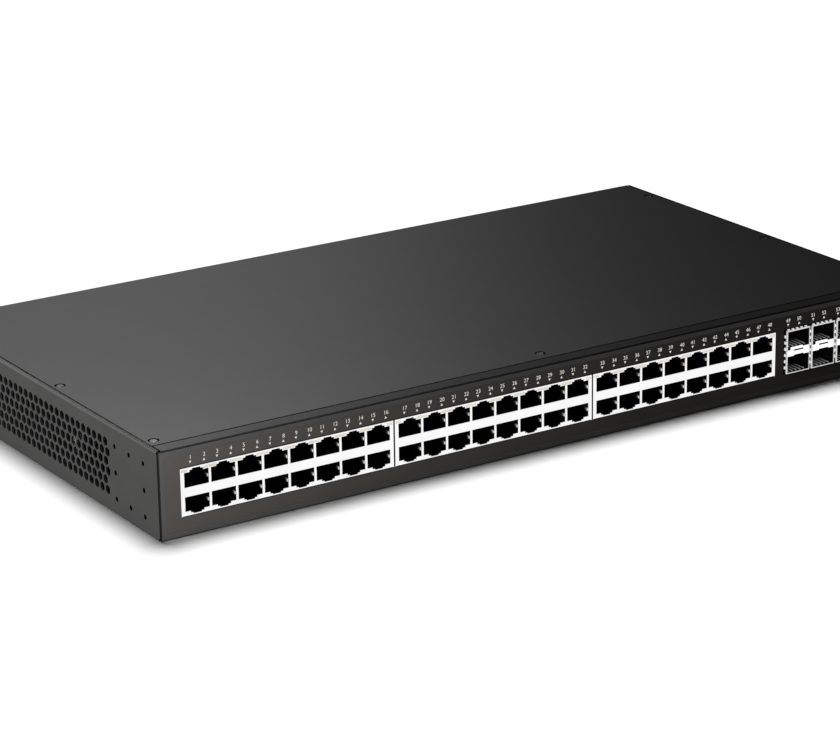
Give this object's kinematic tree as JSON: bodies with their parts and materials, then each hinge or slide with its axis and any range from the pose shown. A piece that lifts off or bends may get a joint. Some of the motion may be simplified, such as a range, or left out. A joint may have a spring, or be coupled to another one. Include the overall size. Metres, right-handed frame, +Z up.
{
  "type": "rackmount network switch",
  "caption": "Flat steel-cased rackmount network switch with a stacked row of copper ports, stacked optical bays, perforated sides, countersunk cover and side fans.",
  "frame": {"origin": "middle of the underside", "axes": "+X along the front to the right, -Y out of the front face, +Z up"},
  "size_m": [0.44, 0.244, 0.043],
  "materials": {
    "case_paint": "fine-textured charcoal powder coat",
    "face_paint": "smooth satin dark grey paint",
    "overlay_film": "fine matt film with white printed numbers and arrows",
    "bright_steel": "bright tin-plated sheet",
    "screw_black": "black zinc",
    "zinc": "zinc plated",
    "black_plastic": "satin moulded plastic",
    "white_plastic": "glossy white moulding",
    "light_pipe": "milky clear light guide",
    "contact_gold": "gold-flashed spring wire",
    "board": "green solder mask",
    "power_board": "tan paper laminate",
    "chip": "dark epoxy",
    "heatsink": "extruded, clear anodised",
    "can": "sleeved capacitor can",
    "transformer": "taped winding and ferrite",
    "copper": "enamelled copper winding",
    "insulator": "milky polyester sheet",
    "wire": "red insulated wire",
    "brass_screw": "passivated"
  },
  "bodies": {
    "case": {"chassis_base": "case_paint", "left_side_wall": "case_paint", "right_side_wall": "case_paint", "front_frame": "case_paint", "faceplate": "face_paint", "front_overlay": "overlay_film", "top_cover": "case_paint", "cover_screws": "screw_black", "chassis_rivets": "zinc", "jack_housing_1": "black_plastic", "jack_housing_2": "black_plastic", "jack_housing_3": "black_plastic", "jack_shield_1": "bright_steel", "jack_shield_2": "bright_steel", "jack_shield_3": "bright_steel", "jack_contacts_1": "contact_gold", "jack_contacts_2": "contact_gold", "jack_contacts_3": "contact_gold", "jack_light_pipes_1": "light_pipe", "jack_light_pipes_2": "light_pipe", "jack_light_pipes_3": "light_pipe", "sfp_cage_1": "bright_steel", "sfp_cage_2": "bright_steel", "sfp_cage_3": "bright_steel", "sfp_spring_collar_1": "bright_steel", "sfp_spring_collar_2": "bright_steel", "sfp_spring_collar_3": "bright_steel", "sfp_divider_1": "white_plastic", "sfp_divider_2": "white_plastic", "sfp_divider_3": "white_plastic", "sfp_connectors": "black_plastic", "main_board": "board", "board_standoffs": "zinc", "board_screws": "zinc", "switch_chip": "chip", "switch_heatsink": "heatsink", "phy_chips": "chip", "board_capacitors": "can", "indicator_leds": "light_pipe", "status_light_pipes": "light_pipe", "reset_switch": "black_plastic", "power_board": "power_board", "power_insulator": "insulator", "power_transformer": "transformer", "bulk_capacitor": "can", "power_heatsinks": "heatsink", "line_choke": "copper", "output_capacitors": "can", "power_inlet": "black_plastic", "inlet_pins": "zinc", "inlet_screws": "zinc", "power_harness": "wire", "ground_screw": "brass_screw", "fan_frame_1": "black_plastic", "fan_frame_2": "black_plastic", "fan_screws": "screw_black", "fan_leads": "wire"},
    "reset_button": {"reset_button": "black_plastic"},
    "fan_rotor_1": {"fan_rotor_1": "black_plastic"},
    "fan_rotor_2": {"fan_rotor_2": "black_plastic"}
  },
  "joints": [
    {"name": "reset_press", "type": "slide", "parent": "case", "child": "reset_button", "axis": [0, 1, 0], "range_m": [0, 0.0005], "stiffness_N_per_m": 1200},
    {"name": "fan_1_spin", "type": "hinge", "parent": "case", "child": "fan_rotor_1", "pos_m": [0.2089, 0.02, 0.0215], "axis": [1, 0, 0], "continuous": true},
    {"name": "fan_2_spin", "type": "hinge", "parent": "case", "child": "fan_rotor_2", "pos_m": [0.2089, 0.063, 0.0215], "axis": [1, 0, 0], "continuous": true}
  ]
}
